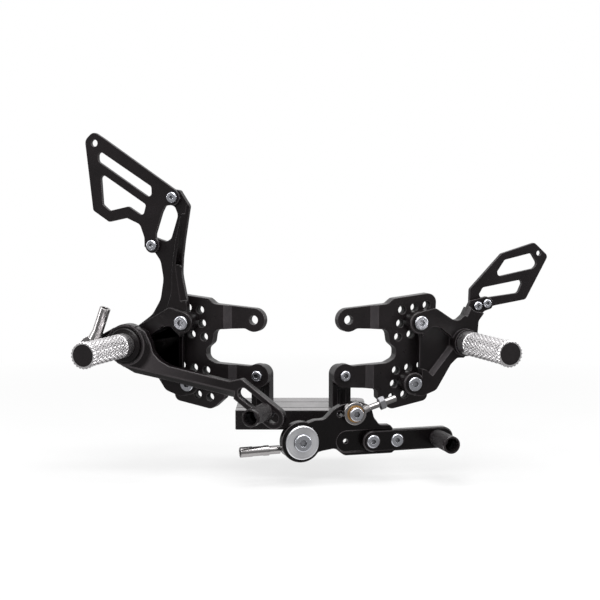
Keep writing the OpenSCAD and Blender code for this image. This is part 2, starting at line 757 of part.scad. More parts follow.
module shift_toe_bolt() {
    color("#8d8f92") lever_frame() at([toe_x, ext_y]) translate([0, 0, ext_front + 9])
        screw(m6, 9 + ext_t - 1, 5, 6, 5);
}

module rod_end_bolt() {
    color("#c8cacd") lever_frame() at(ball_at) translate([0, 0, end_w + ball_half])
        screw(m6, end_w + ball_half - l_back + 4.6, 6.2, 3.6, 5);
}

module rod_end_nut() {
    color("#8d8f92") lever_frame() at(ball_at) {
        nut(10, m6 + fit, l_back - 5, l_back);
        tube(5.2, m6 + fit, l_front, end_w - ball_half);
    }
}

module rod_end_ball() {
    color("#d0d2d4") lever_frame() at(ball_at) translate([0, 0, end_w]) ball(6.6, ball_half, m6 + fit);
}

module rod_end_frame() {
    lever_frame() at(ball_at) translate([0, 0, end_w]) rotate([0, 0, stud_up - 90]) children();
}

module rod_end_race() {
    color("#b8863b") rod_end_frame() difference() {
        rod(7.6, -3, 3);
        sphere(r = 6.6 + ball_fit, $fn = 36);
    }
}

module rod_end() {
    color("#c9c9c7") rod_end_frame() difference() {
        union() {
            puck(end_r, -3.2, 3.2, 0.5);
            rotate([-90, 0, 0]) rod(m6_pitch, 8.6, nut_end + 0.4);
            rotate([-90, 0, 0]) rod(3, nut_end + 0.3, stud_len);
            rotate([-90, 0, 0]) translate([0, 0, 8.2]) cylinder(r1 = 4.6, r2 = 3, h = 6);
        }
        rod(7.6 + fit, -5, 5);
    }
}

module rod_end_lock_nut() {
    color("#b8babd") rod_end_frame() rotate([-90, 0, 0]) nut(10, m6_pitch + fit, nut_end - 5, nut_end);
}

module crank_pin() {
    color("#a9abad") lever_frame() at(crank_at) {
        rod(m5, tie_w - 3, l_front - 0.3);
        rod(3.4, l_back - gap - collar_t, l_back);
        rod(3.4, tie_w - 4.4, tie_w - 2.6);
    }
}

module tie_ball() {
    color("#d0d2d4") lever_frame() at(crank_at) translate([0, 0, tie_w]) ball(4, 2.55, m5 + fit);
}

module tie_rod() {
    color("#c4c4c2") lever_frame() at(crank_at) translate([0, 0, tie_w]) rotate([0, 0, 90 + 1]) difference() {
        union() {
            rod(6, -2.2, 2.2);
            rotate([-90, 0, 0]) rod(tie_r - 0.8, 7, tie_len - 18);
            rotate([-90, 0, 0]) rod(1.9, 5.3, 9);
            rotate([-90, 0, 0]) rod(tie_r, tie_len - 26, tie_len);
        }
        sphere(r = 4 + ball_fit, $fn = 36);
        rotate([-90, 0, 0]) rod(2.5, tie_len - 14, tie_len + 1);
        for (s = [-1, 1]) translate([s * (tie_r + 3.2), tie_len - 16, 0]) cube([8, 10, 20], center = true);
    }
}

module left_adapter() {
    color("#262627") left_side() adapter();
}

module right_adapter() {
    color("#262627") right_side() adapter();
}

module left_spacers() {
    color("#1e1e1f") left_side() spacers();
}

module right_spacers() {
    color("#1e1e1f") right_side() spacers();
}

module left_hanger_bolts() {
    color("#c8cacd") left_side() hanger_bolts();
}

module right_hanger_bolts() {
    color("#c8cacd") right_side() hanger_bolts();
}

module left_post() {
    color("#262627") left_side() post();
}

module right_post() {
    color("#262627") right_side() post();
}

module left_eye_screw() {
    color("#c8cacd") left_side() eye_screw();
}

module right_eye_screw() {
    color("#c8cacd") right_side() eye_screw();
}

cross_block();
post_screws();
left_post();
right_post();
left_eye_screw();
right_eye_screw();
left_adapter();
right_adapter();
left_spacers();
right_spacers();
left_hanger();
right_hanger();
left_hanger_bolts();
right_hanger_bolts();
left_heel_guard();
right_heel_guard();
left_guard_screws();
right_guard_screws();
left_peg();
right_peg();
left_peg_cap();
right_peg_cap();
left_peg_bolt();
right_peg_bolt();
peg_flange();
pedal_sleeve();
brake_pedal();
pedal_bush();
brake_toe_peg();
brake_toe_bolt();
brake_toe_nut();
brake_rod();
brake_rod_ball();
brake_rod_bolt();
brake_rod_nut();
pivot_bracket();
bracket_screws();
pivot_sleeve();
pivot_washer();
pivot_bolt();
gear_lever();
lever_bush();
lever_extension();
extension_screws();
shift_toe_peg();
shift_toe_bolt();
rod_end_bolt();
rod_end_ball();
rod_end_nut();
rod_end();
rod_end_race();
rod_end_lock_nut();
crank_pin();
tie_ball();
tie_rod();
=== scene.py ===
import json
import math

import bmesh
import bpy
import numpy as np
from mathutils import Matrix, Vector
from mathutils.bvhtree import BVHTree


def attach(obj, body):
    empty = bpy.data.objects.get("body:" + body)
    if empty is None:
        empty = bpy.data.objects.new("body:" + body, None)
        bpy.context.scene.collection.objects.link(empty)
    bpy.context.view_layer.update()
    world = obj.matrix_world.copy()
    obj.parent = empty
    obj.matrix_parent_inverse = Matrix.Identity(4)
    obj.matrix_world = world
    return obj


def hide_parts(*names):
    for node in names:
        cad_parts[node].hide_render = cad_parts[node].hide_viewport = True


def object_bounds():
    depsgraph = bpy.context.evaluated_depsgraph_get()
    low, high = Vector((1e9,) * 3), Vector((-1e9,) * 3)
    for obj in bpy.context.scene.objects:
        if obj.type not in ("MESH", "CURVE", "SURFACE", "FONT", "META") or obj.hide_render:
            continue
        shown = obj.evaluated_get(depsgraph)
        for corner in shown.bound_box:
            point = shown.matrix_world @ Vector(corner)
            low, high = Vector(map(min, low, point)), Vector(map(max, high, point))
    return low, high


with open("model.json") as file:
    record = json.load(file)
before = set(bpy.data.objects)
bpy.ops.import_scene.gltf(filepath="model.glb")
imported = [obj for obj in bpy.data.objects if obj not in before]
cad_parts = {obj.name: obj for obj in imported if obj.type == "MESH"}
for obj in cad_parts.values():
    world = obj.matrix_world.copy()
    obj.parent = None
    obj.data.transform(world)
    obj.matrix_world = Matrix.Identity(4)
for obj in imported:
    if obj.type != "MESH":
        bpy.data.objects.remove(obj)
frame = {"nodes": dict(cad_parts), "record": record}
cad_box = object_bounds()
nodes = frame["nodes"]
scene = bpy.context.scene

# Sizes and places of pieces are in millimetres, as on a drawing, and MM takes them to metres.
# Distances in the finishes, the light and the camera are in metres.
MM = 0.001

# The layout of the set. The two plates are splayed outwards about their lower eyes, and the gear
# lever is turned about its pivot. The eye and the pivot are in metres.
LOWER_EYE = (0.03875, 0.048)
SPLAY = math.radians(20)
LEVER_PIVOT = (-0.0006, -0.038, -0.0048)
LEVER_YAW = math.radians(16)

# Where the pegs stand in their plate's or lever's own frame: (across, up), and the height of their
# foot above the plate. The brake pedal's hub turns about the left peg's axis.
LEFT_PEG, LEFT_PEG_FOOT = (116.5, 27), 37.6
RIGHT_PEG, RIGHT_PEG_FOOT = (109.8, 28.4), 29.0
SHIFT_TOE, SHIFT_TOE_FOOT = (125.5, -1.9), 9.7

# The brake toe peg is 9.5 mm along a slot of that slant from the slot's lower end.
SLOT_END, SLOT_SLANT, SLOT_PLACE = (-27.5, -31.5), math.radians(35.5), 9.5
BRAKE_TOE = (SLOT_END[0] + SLOT_PLACE * math.cos(SLOT_SLANT),
             SLOT_END[1] + SLOT_PLACE * math.sin(SLOT_SLANT))
BRAKE_TOE_FOOT = 34.4


def plate_matrix(side):
    """Plate frame (x outwards, y up, z along the outward normal) to the set's frame; side is 1 for
    the right plate, -1 for the left. The right plate is turned by the splay about the vertical
    through its lower eye; the left one is its mirror image."""
    c, s = math.cos(SPLAY), math.sin(SPLAY)
    across, up = LOWER_EYE
    right = Matrix(((c, 0, s, across), (s, 0, -c, 0), (0, 1, 0, up), (0, 0, 0, 1)))
    return right if side > 0 else Matrix.Diagonal((-1, 1, 1, 1)) @ right


def lever_matrix():
    """Gear lever frame (x along the lever, y up, z towards the viewer) to the set's frame: turned
    by the yaw about the vertical through its pivot."""
    c, s = math.cos(LEVER_YAW), math.sin(LEVER_YAW)
    x, y, z = LEVER_PIVOT
    return Matrix(((c, 0, s, x), (s, 0, -c, y), (0, 1, 0, z), (0, 0, 0, 1)))


def placed(points, matrix, at, level):
    """Moves points (n, 3) by (at, level) in a frame, then takes them to the set's frame."""
    m = np.array(matrix)
    moved = (np.asarray(points, float) + np.array([at[0], at[1], level])) * MM
    return moved @ m[:3, :3].T + m[:3, 3]


RIGHT, LEFT, LEVER = plate_matrix(1), plate_matrix(-1), lever_matrix()


# Finishes. Noise scales are in features per metre, and every pattern reads the object's own place,
# so it stays on a piece that moves.

# The sockets of a Mix node that blends colours: its factor, its two colours and its result.
SHARE, FIRST, SECOND, BLEND = 0, 6, 7, 2

# Depth of the relief that the grain and the tool marks stand for.
RELIEF = 0.0002


def finish(name):
    """A new material with a Principled shader: the material, its node tree and that shader."""
    material = bpy.data.materials.new(name)
    material.use_nodes = True
    tree = material.node_tree
    return material, tree, tree.nodes["Principled BSDF"]


def node(tree, kind, **values):
    """A node of that kind. A value whose name is a socket's sets that socket, and any other sets
    the node's property."""
    made = tree.nodes.new(kind)
    for key, value in values.items():
        if key in made.inputs:
            made.inputs[key].default_value = value
        else:
            setattr(made, key, value)
    return made


def join(tree, pairs):
    """Links each pair of an output and an input."""
    for a, b in pairs:
        tree.links.new(a, b)


def ramp(tree, value, stops):
    """Colour ramp fed by value; stops are (place, grey or colour)."""
    made = tree.nodes.new("ShaderNodeValToRGB")
    tree.links.new(value, made.inputs[0])
    elements = made.color_ramp.elements
    while len(elements) < len(stops):
        elements.new(0.5)
    for element, (place, colour) in zip(elements, stops):
        element.position = place
        rgb = (colour,) * 3 if isinstance(colour, (int, float)) else colour
        element.color = (*rgb, 1)
    return made.outputs[0]


def toned(colour, share):
    """The colour, with each of its three values taken times share."""
    return [c * share for c in colour]


def recess(tree, colour, reach, darkest):
    """The colour, darkened towards darkest where the surface is closed in within reach, as in
    sockets, slots and knurl grooves: painted shade of those closed-in places."""
    # Painted shade: ambient occlusion darkens the colour where the surface is closed in.
    open_sky = node(tree, "ShaderNodeAmbientOcclusion", samples=8, Distance=reach)
    shade = ramp(tree, open_sky.outputs["AO"], [(0.25, darkest), (0.80, 1.0)])
    mix = node(tree, "ShaderNodeMix", data_type="RGBA", blend_type="MULTIPLY")
    mix.inputs[SHARE].default_value = 1.0
    join(tree, [(colour, mix.inputs[FIRST]), (shade, mix.inputs[SECOND])])
    return mix.outputs[BLEND]


def about_axis(tree, place, matrix, at):
    """Places in the frame of an axis that stands at a point of a plate or lever: the frame's
    turn, the place (x, y, z) in it, and the distance to the axis, sqrt(x^2 + y^2)."""
    local = matrix @ Matrix.Translation((at[0] * MM, at[1] * MM, 0))
    turn = node(tree, "ShaderNodeMapping", vector_type="TEXTURE",
                Location=local.to_translation(), Rotation=local.to_euler())
    flat = node(tree, "ShaderNodeVectorMath", operation="MULTIPLY")
    flat.inputs[1].default_value = (1, 1, 0)
    far = node(tree, "ShaderNodeVectorMath", operation="LENGTH")
    join(tree, [(place.outputs["Object"], turn.inputs["Vector"]),
                (turn.outputs[0], flat.inputs[0]), (flat.outputs[0], far.inputs[0])])
    return local.to_euler(), turn.outputs[0], far.outputs["Value"]


def black_anodising(name, base, rough, blast=1.0):
    """Dyed anodised aluminium: bead-blasted grain, cloudy depth of dye, and faint pale specks where
    hands have rubbed it. base is the dye's colour and blast the strength of the grain."""
    rubbed = (0.045, 0.040, 0.042)
    material, tree, shader = finish(name)
    place = node(tree, "ShaderNodeTexCoord")
    grain = node(tree, "ShaderNodeTexNoise", Scale=2600.0, Detail=4.0, Roughness=0.62)
    cloud = node(tree, "ShaderNodeTexNoise", Scale=38.0, Detail=5.0, Roughness=0.6)
    rub = node(tree, "ShaderNodeTexNoise", Scale=240.0, Detail=6.0, Roughness=0.7)
    join(tree, [(place.outputs["Object"], n.inputs["Vector"]) for n in (grain, cloud, rub)])
    dye = ramp(tree, cloud.outputs[0], [(0.30, toned(base, 0.75)), (0.72, toned(base, 1.35))])
    specks = ramp(tree, rub.outputs[0], [(0.70, 0.0), (0.88, 0.05)])
    sheen = ramp(tree, rub.outputs[0], [(0.25, rough - 0.02), (0.75, rough + 0.04)])
    mix = node(tree, "ShaderNodeMix", data_type="RGBA", blend_type="MIX")
    mix.inputs[SECOND].default_value = (*rubbed, 1)
    bump = node(tree, "ShaderNodeBump", Strength=0.035 * blast, Distance=RELIEF)
    join(tree, [(specks, mix.inputs[SHARE]), (dye, mix.inputs[FIRST]),
                (mix.outputs[BLEND], shader.inputs["Base Color"]),
                (sheen, shader.inputs["Roughness"]),
                (grain.outputs[0], bump.inputs["Height"]),
                (bump.outputs[0], shader.inputs["Normal"])])
    shader.inputs["IOR"].default_value = 1.34
    return material


def arm_painted_sheen(name, matrix, at):
    """The pedal's anodising: dark on its turned hub, with a painted sheen on the flat of the arm, a
    lighter colour that is strongest just outside the hub and fades further out. The sheen's share
    comes from the distance to the hub's axis, and only on faces that look along that axis. The
    distance is taken times 10, so that the ramp's places are in tenths of a metre."""
    painted_sheen = (0.040, 0.035, 0.037)
    material = black_anodising(name, base=(0.0046, 0.0034, 0.0038), rough=0.28)
    tree = material.node_tree
    colour = tree.nodes["Principled BSDF"].inputs["Base Color"]
    dark = colour.links[0].from_socket
    place = node(tree, "ShaderNodeTexCoord")
    _, _, far = about_axis(tree, place, matrix, at)
    reach = node(tree, "ShaderNodeMath", operation="MULTIPLY")
    reach.inputs[1].default_value = 10.0
    # Painted sheen: full just outside the hub, fading with the distance from it.
    share = ramp(tree, reach.outputs[0], [(0.245, 0.0), (0.285, 1.0), (0.55, 0.60), (0.95, 0.12)])
    facing = node(tree, "ShaderNodeVectorMath", operation="DOT_PRODUCT")
    facing.inputs[1].default_value = matrix.col[2].to_3d()
    level = ramp(tree, facing.outputs["Value"], [(0.955, 0.0), (0.985, 1.0)])
    part = node(tree, "ShaderNodeMath", operation="MULTIPLY")
    mix = node(tree, "ShaderNodeMix", data_type="RGBA", blend_type="MIX")
    mix.inputs[SECOND].default_value = (*painted_sheen, 1)
    join(tree, [(far, reach.inputs[0]), (place.outputs["Normal"], facing.inputs[0]),
                (share, part.inputs[0]), (level, part.inputs[1]),
                (part.outputs[0], mix.inputs[SHARE]), (dark, mix.inputs[FIRST]),
                (mix.outputs[BLEND], colour)])
    return material


def bare_metal(name, colour, rough, marks=900.0, depth=0.12, dull=0.10, reach=0.0022, darkest=0.10):
    """Bare machined metal: fine tool marks, patches that handling has dulled by the share dull, and
    closed-in places such as sockets and grooves darkened within reach by painted shade."""
    material, tree, shader = finish(name)
    place = node(tree, "ShaderNodeTexCoord")
    tool = node(tree, "ShaderNodeTexNoise", Scale=marks, Detail=3.0, Roughness=0.55)
    cloud = node(tree, "ShaderNodeTexNoise", Scale=90.0, Detail=5.0, Roughness=0.65)
    tone = ramp(tree, cloud.outputs[0], [(0.28, toned(colour, 1 - dull)), (0.70, colour)])
    sheen = ramp(tree, cloud.outputs[0], [(0.30, rough + 0.07), (0.72, rough - 0.04)])
    bump = node(tree, "ShaderNodeBump", Strength=depth, Distance=RELIEF)
    # The tone goes through painted shade in closed-in places.
    join(tree, [(place.outputs["Object"], tool.inputs["Vector"]),
                (place.outputs["Object"], cloud.inputs["Vector"]),
                (recess(tree, tone, reach, darkest), shader.inputs["Base Color"]),
                (sheen, shader.inputs["Roughness"]),
                (tool.outputs[0], bump.inputs["Height"]),
                (bump.outputs[0], shader.inputs["Normal"])])
    shader.inputs["Metallic"].default_value = 1.0
    return material


def turned_face(name, colour, rough, matrix, at):
    """Facing marks of a lathe: rings 0.45 mm apart, from the distance to the piece's own axis, with
    the gloss drawn out around it along the tangent, the place crossed with the axis."""
    pitch = 0.00045
    material, tree, shader = finish(name)
    place = node(tree, "ShaderNodeTexCoord")
    turn, local, far = about_axis(tree, place, matrix, at)
    along = node(tree, "ShaderNodeCombineXYZ")
    rings = node(tree, "ShaderNodeTexNoise", Scale=1.0 / pitch, Detail=3.0, Roughness=0.7)
    bands = node(tree, "ShaderNodeTexNoise", Scale=0.22 / pitch, Detail=2.0)
    around = node(tree, "ShaderNodeVectorMath", operation="CROSS_PRODUCT")
    around.inputs[1].default_value = (0, 0, 1)
    spin = node(tree, "ShaderNodeVectorRotate", rotation_type="EULER_XYZ")
    spin.inputs["Rotation"].default_value = turn
    tone = ramp(tree, bands.outputs[0], [(0.30, toned(colour, 0.86)), (0.72, colour)])
    sheen = ramp(tree, rings.outputs[0], [(0.30, rough - 0.05), (0.72, rough + 0.08)])
    bump = node(tree, "ShaderNodeBump", Strength=0.5, Distance=0.0001)
    join(tree, [(far, along.inputs[0]), (along.outputs[0], rings.inputs["Vector"]),
                (along.outputs[0], bands.inputs["Vector"]),
                (tone, shader.inputs["Base Color"]), (sheen, shader.inputs["Roughness"]),
                (rings.outputs[0], bump.inputs["Height"]),
                (bump.outputs[0], shader.inputs["Normal"]),
                (local, around.inputs[0]), (around.outputs[0], spin.inputs[0]),
                (spin.outputs[0], shader.inputs["Tangent"])])
    shader.inputs["Anisotropic"].default_value = 0.55
    shader.inputs["Metallic"].default_value = 1.0
    return material


def threaded_wall(name):
    """The wall of a threaded hole, with hardly any gloss: its colour is painted shade, dark and
    banded along the hole, darkest in the thread's grooves. A band texture of scale s repeats every
    2 pi / (20 s) metres, here every 7.9 mm."""
    material, tree, shader = finish(name)
    place = node(tree, "ShaderNodeTexCoord")
    turns = node(tree, "ShaderNodeTexWave", wave_type="BANDS", bands_direction="Y", Scale=40.0)
    bump = node(tree, "ShaderNodeBump", Strength=0.9, Distance=0.0006)
    # Painted shade: darkest in the thread's grooves, lighter on its crests.
    tone = ramp(tree, turns.outputs["Fac"], [(0.2, (0.0022, 0.0020, 0.0021)),
                                             (0.9, (0.020, 0.018, 0.019))])
    join(tree, [(place.outputs["Object"], turns.inputs["Vector"]),
                (turns.outputs["Fac"], bump.inputs["Height"]),
                (bump.outputs[0], shader.inputs["Normal"]), (tone, shader.inputs["Base Color"])])
    shader.inputs["Roughness"].default_value = 0.6
    shader.inputs["Specular IOR Level"].default_value = 0.2
    return material


# Camera, light and floor. The camera is fitted to the photograph's hole fields, eyes and peg ends.

CAMERA_PLACE, CAMERA_TILT = (-0.001, -1.1227, 0.22107), math.radians(84.69)
SENSOR, LENS = 36, 75
ROOM_LIGHT = 0.25      # of the white surround, for diffuse light
LAMP_AIM = (0, 0, 0.1)
DROP = 0.022           # keeps the floor clear of the gear lever at the end of its travel
SURROUND = 48          # steps of the grey cards around the object

camera = bpy.data.objects.new("camera", bpy.data.cameras.new("camera"))
scene.collection.objects.link(camera)
camera.location = CAMERA_PLACE
camera.rotation_euler = (CAMERA_TILT, 0, 0)
camera.data.sensor_width = SENSOR
camera.data.lens = LENS
scene.camera = camera
scene.view_settings.view_transform = "Standard"


def seen_directly(tree):
    """1 for camera, glossy and transmission rays, so that metal shows the camera's white too."""
    path = tree.nodes.new("ShaderNodeLightPath")
    first = node(tree, "ShaderNodeMath", operation="MAXIMUM")
    second = node(tree, "ShaderNodeMath", operation="MAXIMUM")
    join(tree, [(path.outputs["Is Camera Ray"], first.inputs[0]),
                (path.outputs["Is Glossy Ray"], first.inputs[1]),
                (first.outputs[0], second.inputs[0]),
                (path.outputs["Is Transmission Ray"], second.inputs[1])])
    return second.outputs[0]


def white_room():
    """A white surround for the eye and for reflections, and a plain dimmer one for other light."""
    world = bpy.data.worlds.new("room")
    world.use_nodes = True
    scene.world = world
    tree = world.node_tree
    dim = tree.nodes["Background"]
    dim.inputs["Color"].default_value = (1, 1, 1, 1)
    dim.inputs["Strength"].default_value = ROOM_LIGHT
    white = node(tree, "ShaderNodeBackground", Color=(1, 1, 1, 1), Strength=1.0)
    mix = node(tree, "ShaderNodeMixShader")
    join(tree, [(seen_directly(tree), mix.inputs[0]), (dim.outputs[0], mix.inputs[1]),
                (white.outputs[0], mix.inputs[2]),
                (mix.outputs[0], tree.nodes["World Output"].inputs[0])])


def soft_lamp(name, place, size, power):
    """A soft box of that size (width, height) and power in watts that looks at the set."""
    lamp = bpy.data.lights.new(name, "AREA")
    lamp.shape = "RECTANGLE"
    lamp.size, lamp.size_y = size
    lamp.energy = power
    box = bpy.data.objects.new(name, lamp)
    scene.collection.objects.link(box)
    way = (Vector(LAMP_AIM) - Vector(place)).normalized()
    box.matrix_world = Matrix.Translation(place) @ way.to_track_quat("-Z", "Y").to_matrix().to_4x4()


def pale_floor(level):
    """A floor that keeps a faint shadow near the object and turns to plain white further out."""
    half = 9
    mesh = bpy.data.meshes.new("floor")
    mesh.from_pydata([(-half, -half, level), (half, -half, level), (half, half, level),
                      (-half, half, level)], [], [(0, 1, 2, 3)])
    floor = bpy.data.objects.new("floor", mesh)
    scene.collection.objects.link(floor)
    material, tree, shader = finish("floor_white")
    shader.inputs["Base Color"].default_value = (0.86, 0.86, 0.86, 1)
    shader.inputs["Roughness"].default_value = 0.8
    shader.inputs["Specular IOR Level"].default_value = 0.0
    glow = node(tree, "ShaderNodeEmission", Strength=1.0)
    mix = node(tree, "ShaderNodeMixShader")
    place = node(tree, "ShaderNodeTexCoord")
    far = node(tree, "ShaderNodeVectorMath", operation="LENGTH")
    share = ramp(tree, far.outputs["Value"], [(0.30, 0.72), (0.85, 1.0)])
    part = node(tree, "ShaderNodeMath", operation="MULTIPLY")
    join(tree, [(place.outputs["Object"], far.inputs[0]), (seen_directly(tree), part.inputs[0]),
                (share, part.inputs[1]), (part.outputs[0], mix.inputs[0]),
                (shader.outputs[0], mix.inputs[1]), (glow.outputs[0], mix.inputs[2]),
                (mix.outputs[0], tree.nodes["Material Output"].inputs[0])])
    mesh.materials.append(material)


def ring_quads(rows, around):
    """The quads between rows of points that close round an axis, each row after the one before."""
    i, j = np.meshgrid(np.arange(rows - 1), np.arange(around), indexing="ij")
    k = (j + 1) % around
    corners = (i * around + j, i * around + k, (i + 1) * around + k, (i + 1) * around + j)
    return np.stack(corners, -1).reshape(-1, 4)


def grey_cards(level, inner=0.10, outer=2.2, top=0.85, tone=0.30):
    """Grey card laid round the object and stood up in front of it, seen only in reflections: the
    surface P(a, t) = (r(t) cos a, r(t) sin a, h(t) w(a)). The path (r, h) goes along the floor and
    up the wall, and the wall's share w falls from 1 in front to 0.01 behind, so that the room
    behind stays white."""
    path = np.array([(inner, 0.0), (outer, 0.0), (outer, top - level)])
    turn = np.linspace(0, 2 * math.pi, SURROUND, endpoint=False)
    wall = np.clip((0.40 - np.sin(turn)) / 0.30, 0.01, 1)
    points = np.stack([np.outer(path[:, 0], np.cos(turn)), np.outer(path[:, 0], np.sin(turn)),
                       level + 0.001 + np.outer(path[:, 1], wall)], -1).reshape(-1, 3)
    mesh = bpy.data.meshes.new("grey_cards")
    mesh.from_pydata(points.tolist(), [], ring_quads(len(path), SURROUND).tolist())
    cards = bpy.data.objects.new("grey_cards", mesh)
    scene.collection.objects.link(cards)
    material, tree, _ = finish("card_grey")
    glow = node(tree, "ShaderNodeEmission", Strength=1.0, Color=(tone, tone, tone, 1))
    join(tree, [(glow.outputs[0], tree.nodes["Material Output"].inputs[0])])
    mesh.materials.append(material)
    cards.visible_camera = cards.visible_diffuse = False
    cards.visible_shadow = cards.visible_transmission = False


white_room()
soft_lamp("top_box", (0.0, -0.30, 1.2), (1.2, 0.4), 10)
soft_lamp("front_box", (0.05, -0.80, 1.1), (0.9, 0.25), 6)
soft_lamp("left_box", (-1.35, -0.20, 0.55), (0.25, 0.9), 8)
soft_lamp("right_box", (1.35, -0.20, 0.55), (0.25, 0.9), 9)
soft_lamp("front_spot", (-0.45, -1.3, 0.95), (0.14, 0.14), 2.5)
pale_floor(cad_box[0][2] - DROP)
grey_cards(cad_box[0][2] - DROP)


# The finishes of this set, and the pieces that wear them.

plate_black = black_anodising("plate_black", base=(0.0052, 0.0038, 0.0043), rough=0.30)
guard_black = black_anodising("guard_black", base=(0.0075, 0.0058, 0.0065), rough=0.26, blast=0.4)
block_black = black_anodising("block_black", base=(0.011, 0.0092, 0.0098), rough=0.26)
# Painted light: the cross block's top gets a colour far lighter than its sides.
block_top_painted_light = black_anodising("block_top_painted_light", base=(0.165, 0.155, 0.160), rough=0.22)
lever_black = black_anodising("lever_black", base=(0.0028, 0.0021, 0.0023), rough=0.20)
# Chamfer colours lighter than the plates: worn edges, and painted highlight along them.
edge_dark_wear_and_sheen = black_anodising("edge_dark_wear_and_sheen", base=(0.018, 0.015, 0.016), rough=0.24)
grip_black = black_anodising("grip_black", base=(0.0160, 0.0135, 0.0145), rough=0.17)
edge_wear_and_sheen = black_anodising("edge_wear_and_sheen", base=(0.042, 0.037, 0.039), rough=0.20)
adapter_black = black_anodising("adapter_black", base=(0.0098, 0.0078, 0.0084), rough=0.28)
# The pedal's arm carries a painted sheen around its hub.
pedal_black_painted_sheen = arm_painted_sheen("pedal_black_painted_sheen", LEFT, LEFT_PEG)
# Painted highlight: a lighter colour for the milled slopes that catch the light.
slope_painted_light = black_anodising("slope_painted_light", base=(0.034, 0.030, 0.032), rough=0.36)
thread_painted_shade = threaded_wall("thread_painted_shade")
# Each bare metal gets painted shade in its sockets, grooves and knurl; reach and darkest set how
# far and how dark.
bolt_zinc = bare_metal("bolt_zinc", (0.66, 0.67, 0.72), 0.24, depth=0.10, dull=0.20,
                       reach=0.0055, darkest=0.02)
bolt_steel = bare_metal("bolt_steel", (0.42, 0.42, 0.44), 0.34)
peg_aluminium = bare_metal("peg_aluminium", (0.87, 0.85, 0.86), 0.28, depth=0.03, dull=0.08,
                           reach=0.0016, darkest=0.12)
rod_satin = bare_metal("rod_satin", (0.40, 0.385, 0.385), 0.20, marks=300.0, depth=0.01, dull=0.06)
ball_bright = bare_metal("ball_bright", (0.70, 0.70, 0.72), 0.14, depth=0.03)
race_bronze = bare_metal("race_bronze", (0.80, 0.46, 0.17), 0.34, reach=0.0008)
washer_turned = turned_face("washer_turned", (0.90, 0.90, 0.93), 0.34, LEVER, (0, 0))
cap_grey = black_anodising("cap_grey", base=(0.0115, 0.0096, 0.0104), rough=0.32)

WEAR = {
    plate_black: ["left_hanger", "right_hanger", "left_spacers", "right_spacers", "left_post",
                  "right_post", "pivot_bracket", "peg_flange"],
    adapter_black: ["left_adapter", "right_adapter"],
    pedal_black_painted_sheen: ["brake_pedal"],
    guard_black: ["left_heel_guard", "right_heel_guard"],
    block_black: ["cross_block"],
    lever_black: ["gear_lever", "lever_extension"],
    grip_black: ["brake_toe_peg", "shift_toe_peg"],
    bolt_zinc: ["left_hanger_bolts", "right_hanger_bolts", "left_guard_screws",
                "right_guard_screws", "left_eye_screw", "right_eye_screw", "extension_screws",
                "pivot_bolt", "rod_end_bolt"],
    bolt_steel: ["post_screws", "bracket_screws", "left_peg_bolt", "right_peg_bolt",
                 "brake_toe_bolt", "brake_toe_nut", "shift_toe_bolt", "brake_rod_bolt",
                 "brake_rod_nut", "rod_end_nut", "pedal_sleeve", "pivot_sleeve", "crank_pin",
                 "rod_end_lock_nut"],
    peg_aluminium: ["left_peg", "right_peg"],
    rod_satin: ["brake_rod", "tie_rod", "rod_end"],
    ball_bright: ["brake_rod_ball", "rod_end_ball", "tie_ball"],
    race_bronze: ["rod_end_race", "pedal_bush", "lever_bush"],
    washer_turned: ["pivot_washer"],
    cap_grey: ["left_peg_cap", "right_peg_cap"],
}
for material, names in WEAR.items():
    for name in names:
        slots = nodes[name].data.materials
        slots.clear()
        slots.append(material)


# Machined plates, rods and bolts with their edges broken.

BODY = {name: body for body, names in frame["record"]["behaviour"]["bodies"].items()
        for name in names}

# Widths of the broken edges, in mm. Wider ones than ROUNDED get a third facet.
PLATE_EDGES = {"left_adapter": 0.45, "right_adapter": 0.45, "left_hanger": 0.45,
               "right_hanger": 0.45, "left_heel_guard": 0.4, "right_heel_guard": 0.4,
               "brake_pedal": 1.0, "gear_lever": 0.7, "lever_extension": 0.4,
               "cross_block": 0.5, "left_post": 0.4, "right_post": 0.4}
ROD_EDGE, BOLT_EDGE, ROUNDED = 0.3, 0.25, 0.6

# Points closer than ONE_POINT (in metres) are merged, faces turned less than JOINED are one flat,
# and edges turned more than BROKEN are chamfered. A chamfer's points lie within CHAMFER_REACH of
# its width from the CAD surface.
ONE_POINT, JOINED, BROKEN = 3e-6, math.radians(0.6), math.radians(17)
CHAMFER_REACH = 0.45

# Places of the further finishes in a plate's list, after its own black.
EDGE, THREAD, LIT_SLOPE = 1, 2, 3
LIT_BLOCK_TOP = 2

# The position holes: their spacing, the slant of a field, the reach of a hole's wall from its
# centre, and (x, y, k) for each field as in hole_places.
HOLE_PITCH, FIELD_SLANT, WALL_REACH = 12.5, math.radians(8.6), 3.9
HOLE_FIELDS = ((53.4, 45.9, 0), (49.5, 2.9, -1))


def hole_places():
    """The eighteen position holes of an adapter in its plate frame: two slanted fields of three by
    three. Hole (i, j) is at (x + i dx + (j + k) dy, y + i dy + (j + k) dx), where i goes outwards
    and j upwards, (x, y) is the field's hole (0, -k), and (dx, dy) is the spacing turned by the
    slant."""
    i, j = np.meshgrid(np.arange(3), np.arange(-1, 2), indexing="ij")
    dx, dy = HOLE_PITCH * math.cos(FIELD_SLANT), HOLE_PITCH * math.sin(FIELD_SLANT)
    fields = [np.stack([x + i * dx + (j + k) * dy, y + i * dy + (j + k) * dx], -1).reshape(-1, 2)
              for x, y, k in HOLE_FIELDS]
    return np.vstack(fields)


def of_faces(mesh, value):
    """The centre or normal of every face, as an array (n, 3)."""
    rows = np.empty(len(mesh.polygons) * 3)
    mesh.polygons.foreach_get(value, rows)
    return rows.reshape(-1, 3)


